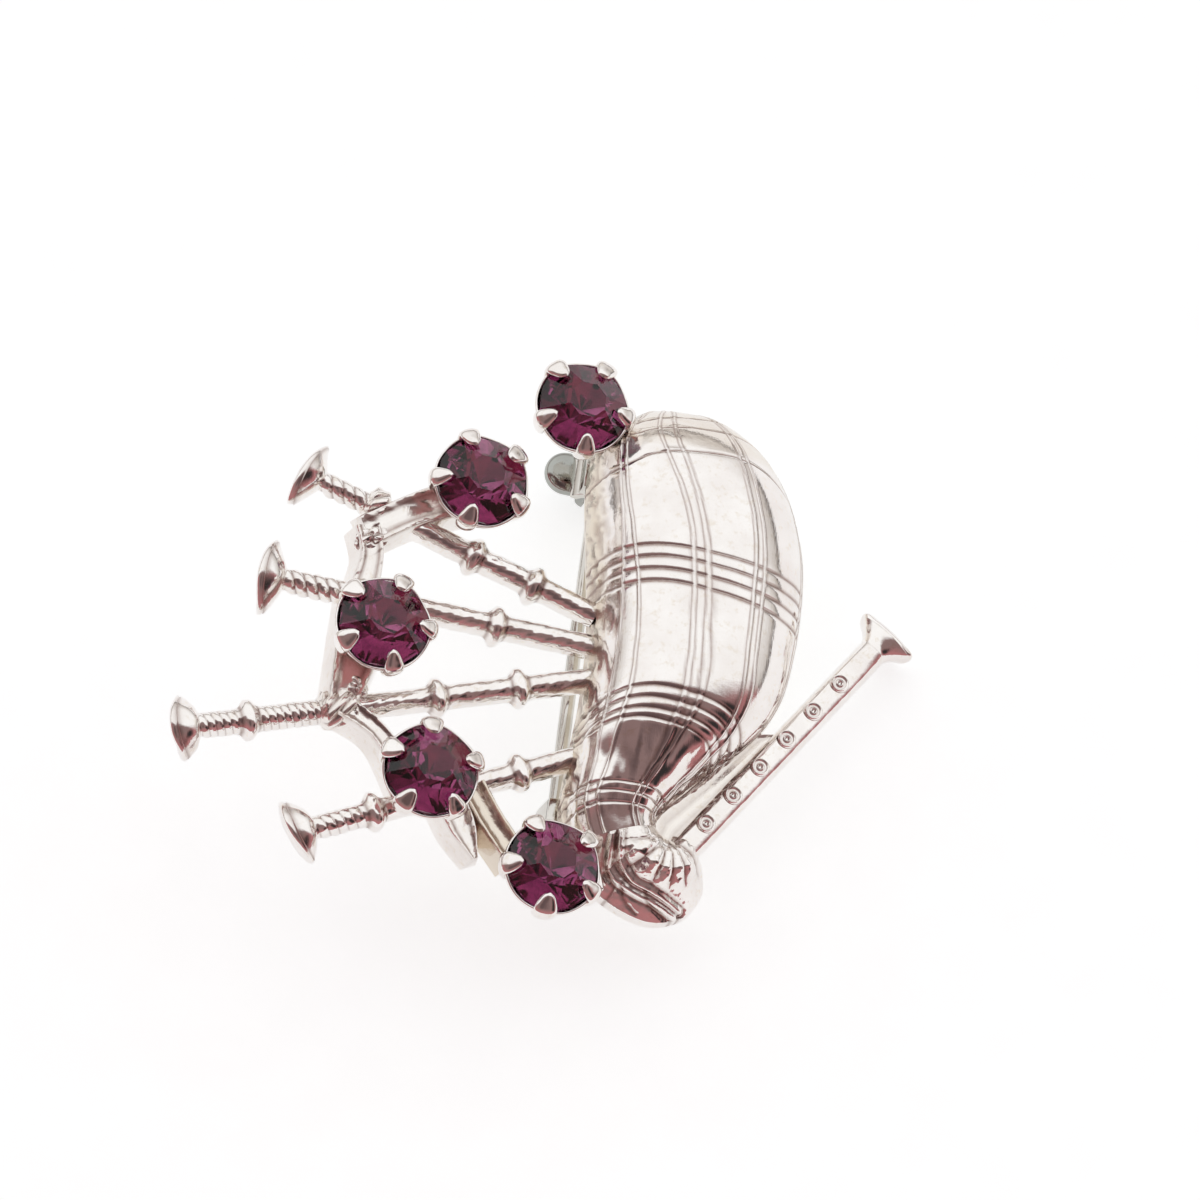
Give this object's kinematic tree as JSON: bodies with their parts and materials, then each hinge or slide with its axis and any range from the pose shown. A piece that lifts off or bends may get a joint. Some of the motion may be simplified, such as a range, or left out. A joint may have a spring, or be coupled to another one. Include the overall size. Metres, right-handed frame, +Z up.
{
  "type": "brooch",
  "caption": "Silver-plated brooch in the shape of a set of bagpipes, with an engraved domed bag, claw-set purple stones and a hinged pin with a roll-over catch.",
  "frame": {"origin": "centre of the footprint, on the table that the brooch lies on", "axes": "+Z up from the table, +Y along the pin stem from its hinge to its catch, +X across the front from the drones to the chanter"},
  "size_m": [0.042, 0.0346, 0.014],
  "materials": {
    "silver_plate": "bright silver plate, slightly worn",
    "pin_metal": "nickel silver, smooth",
    "stone_glass": "purple cut glass with a foiled back"
  },
  "bodies": {
    "brooch": {"bag_shell": "silver_plate", "bag_back_plate": "silver_plate", "neck_cuff": "silver_plate", "chanter": "silver_plate", "chanter_web": "silver_plate", "upper_tenor_drone": "silver_plate", "lower_tenor_drone": "silver_plate", "bass_drone": "silver_plate", "blowpipe": "silver_plate", "ribbon_to_stone_1": "silver_plate", "ribbon_between_tenors": "silver_plate", "ribbon_tenor_to_bass": "silver_plate", "ribbon_bass_to_blowpipe": "silver_plate", "ribbon_tail": "silver_plate", "ribbon_to_stone_5": "silver_plate", "stone_2_lug": "silver_plate", "stone_5_lug": "silver_plate", "stone_1_setting": "silver_plate", "stone_2_setting": "silver_plate", "stone_3_setting": "silver_plate", "stone_4_setting": "silver_plate", "stone_5_setting": "silver_plate", "stone_1": "stone_glass", "stone_2": "stone_glass", "stone_3": "stone_glass", "stone_4": "stone_glass", "stone_5": "stone_glass", "hinge_bracket": "pin_metal", "hinge_rivet": "pin_metal", "catch_housing": "pin_metal"},
    "stem": {"pin_stem": "pin_metal"},
    "rotor": {"catch_rotor": "pin_metal"}
  },
  "joints": [
    {"name": "pin_hinge", "type": "hinge", "parent": "brooch", "child": "stem", "pos_m": [0.0011, -0.00962, 0.0017], "axis": [-0.9662, 0, 0.2578], "range_deg": [0, 105]},
    {"name": "catch_turn", "type": "hinge", "parent": "brooch", "child": "rotor", "pos_m": [0.0011, 0.01308, 0.0017], "axis": [0, -1, 0], "range_deg": [0, 90]}
  ]
}
